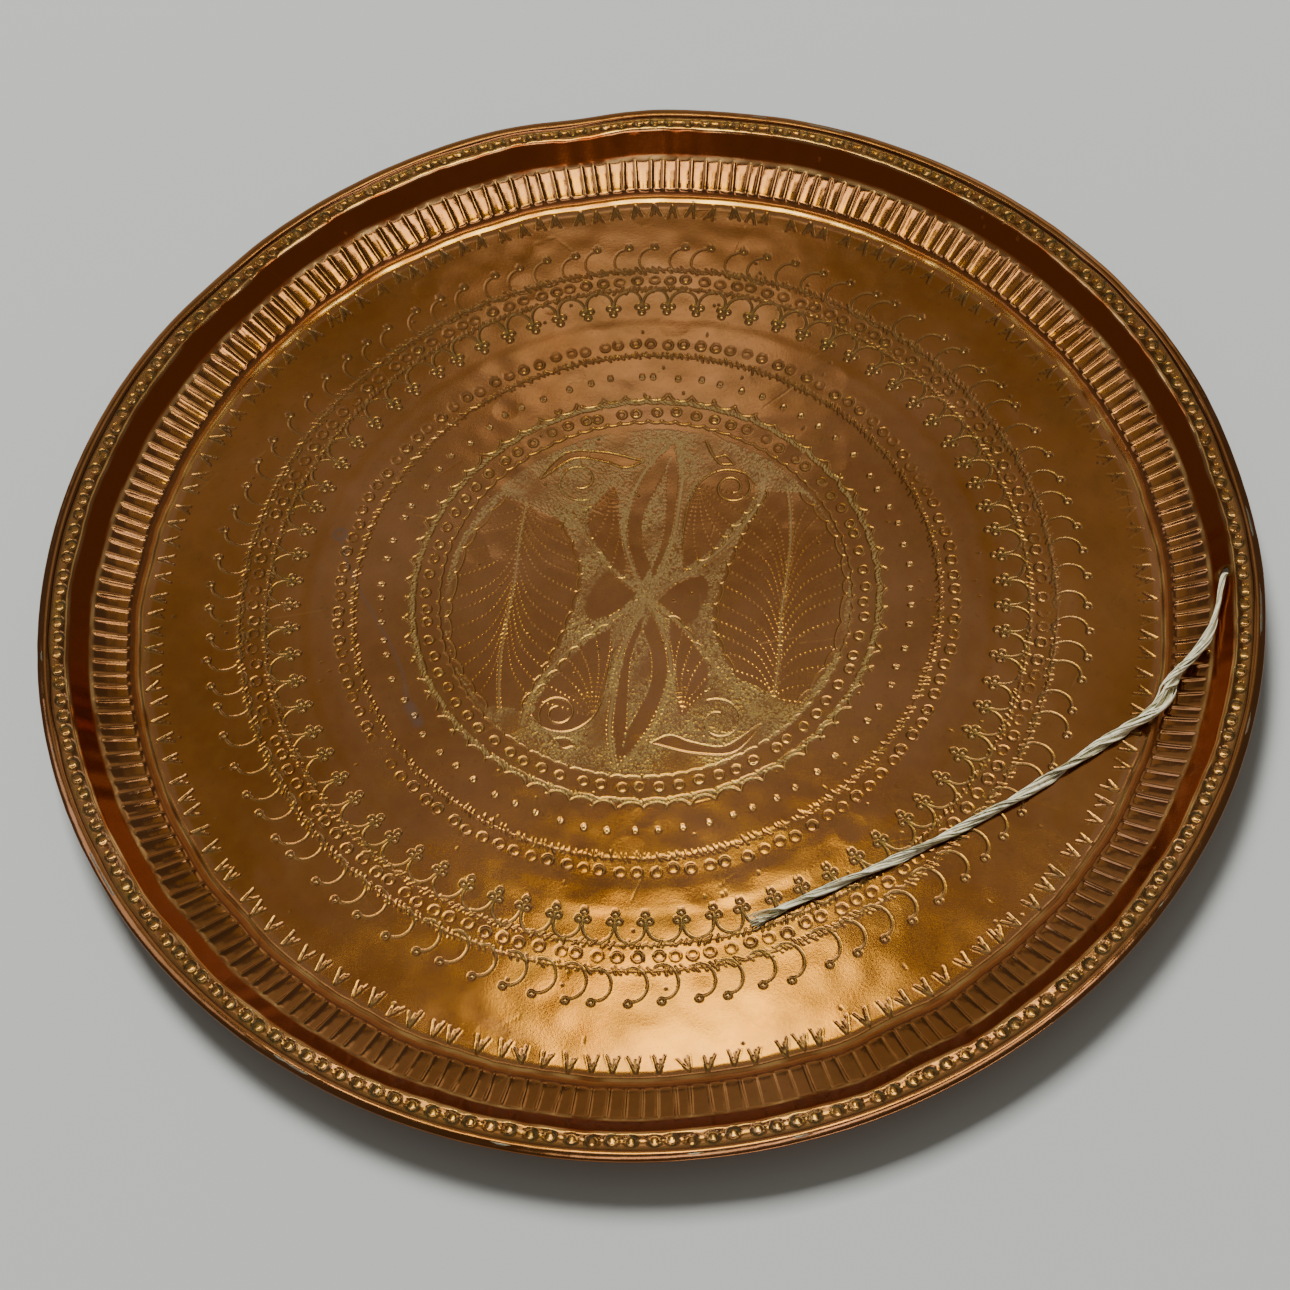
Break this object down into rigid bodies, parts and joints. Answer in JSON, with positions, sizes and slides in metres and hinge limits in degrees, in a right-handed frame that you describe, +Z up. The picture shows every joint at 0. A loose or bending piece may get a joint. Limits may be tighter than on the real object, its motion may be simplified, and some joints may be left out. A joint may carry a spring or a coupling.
{
  "type": "round metal tray",
  "caption": "Round hammered copper tray with a fluted band, sloping wall, rolled wired rim, engraved floor and a limp hanging cord.",
  "frame": {"origin": "middle of the underside of the floor, the face that the tray stands on", "axes": "+Z up out of the open side of the tray; +X points close to the hole that the cord hangs from"},
  "size_m": [0.6, 0.6, 0.0274],
  "materials": {
    "copper_sheet": "hammered, aged and burnished copper",
    "rim_wire_iron": "dull iron wire",
    "cord_fibre": "pale split-fibre string"
  },
  "bodies": {
    "root": {"tray_body": "copper_sheet", "rim_wire": "rim_wire_iron", "hanging_cord": "cord_fibre", "cord_knot": "cord_fibre"}
  },
  "joints": []
}
